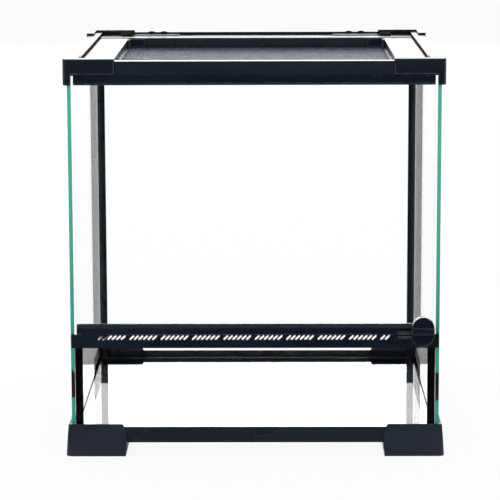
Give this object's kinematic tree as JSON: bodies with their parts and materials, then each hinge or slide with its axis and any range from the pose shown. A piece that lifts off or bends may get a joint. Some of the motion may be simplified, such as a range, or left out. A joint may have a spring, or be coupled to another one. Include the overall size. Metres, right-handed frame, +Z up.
{
  "type": "front-opening glass terrarium",
  "caption": "Cube glass terrarium in a black plastic frame on corner feet, with a hinged glass front door, slotted vent strip, cam lock and lift-out mesh lid.",
  "frame": {"origin": "on the ground at the bottom centre of the whole object's box; the tank's middle is 5.9 mm behind it", "axes": "+Z up, -Y is the door side, +X is to the right seen from the front"},
  "size_m": [0.3096, 0.3212, 0.3254],
  "materials": {
    "clear_glass": "clear float glass with a green edge",
    "black_plastic": "moulded black plastic, satin to semi-gloss",
    "black_silicone": "tooled black silicone",
    "screen_metal": "dark coated woven wire",
    "pin_steel": "plain steel pin"
  },
  "bodies": {
    "tank": {"base_rail_front": "black_plastic", "base_rail_left": "black_plastic", "base_rail_rear": "black_plastic", "base_rail_right": "black_plastic", "cap_front_left": "black_plastic", "cap_front_right": "black_plastic", "cap_rear_left": "black_plastic", "cap_rear_right": "black_plastic", "foot_front_left": "black_plastic", "foot_front_right": "black_plastic", "foot_rear_left": "black_plastic", "foot_rear_right": "black_plastic", "frame_button_left": "black_plastic", "frame_button_right": "black_plastic", "glass_back": "clear_glass", "glass_floor": "clear_glass", "glass_front_lower": "clear_glass", "glass_left": "clear_glass", "glass_right": "clear_glass", "rear_strip": "black_plastic", "silicone_front_left": "black_silicone", "silicone_front_right": "black_silicone", "silicone_rear_left": "black_silicone", "silicone_rear_right": "black_silicone", "top_rail_front": "black_plastic", "top_rail_left": "black_plastic", "top_rail_right": "black_plastic", "vent_strip": "black_plastic"},
    "lid": {"lid_rail_front": "black_plastic", "lid_rail_left": "black_plastic", "lid_rail_rear": "black_plastic", "lid_rail_right": "black_plastic", "lid_clip_front_left": "black_plastic", "lid_clip_front_right": "black_plastic", "lid_clip_rear_left": "black_plastic", "lid_clip_rear_right": "black_plastic", "mesh_screen": "screen_metal"},
    "door": {"glass_door": "clear_glass", "door_profile_bottom": "black_plastic", "door_profile_top": "black_plastic", "hinge_pin_bottom": "pin_steel", "hinge_pin_top": "pin_steel", "lock_plate": "black_plastic"},
    "knob": {"lock_knob": "black_plastic", "lock_cam": "black_plastic"},
    "closer_left": {"cable_closer_left": "black_plastic"},
    "closer_right": {"cable_closer_right": "black_plastic"}
  },
  "joints": [
    {"name": "door_hinge", "type": "hinge", "parent": "tank", "child": "door", "pos_m": [-0.1393, -0.14265, 0.1012], "axis": [0, 0, -1], "range_deg": [0, 110]},
    {"name": "lock_turn", "type": "hinge", "parent": "door", "child": "knob", "pos_m": [0.1361, -0.14715, 0.10565], "axis": [0, -1, 0], "range_deg": [0, 90]},
    {"name": "lid_lift", "type": "slide", "parent": "tank", "child": "lid", "axis": [0, 0, 1], "range_m": [0, 0.12]},
    {"name": "closer_left_slide", "type": "slide", "parent": "tank", "child": "closer_left", "axis": [1, 0, 0], "range_m": [0, 0.03]},
    {"name": "closer_right_slide", "type": "slide", "parent": "tank", "child": "closer_right", "axis": [-1, 0, 0], "range_m": [0, 0.03]}
  ]
}
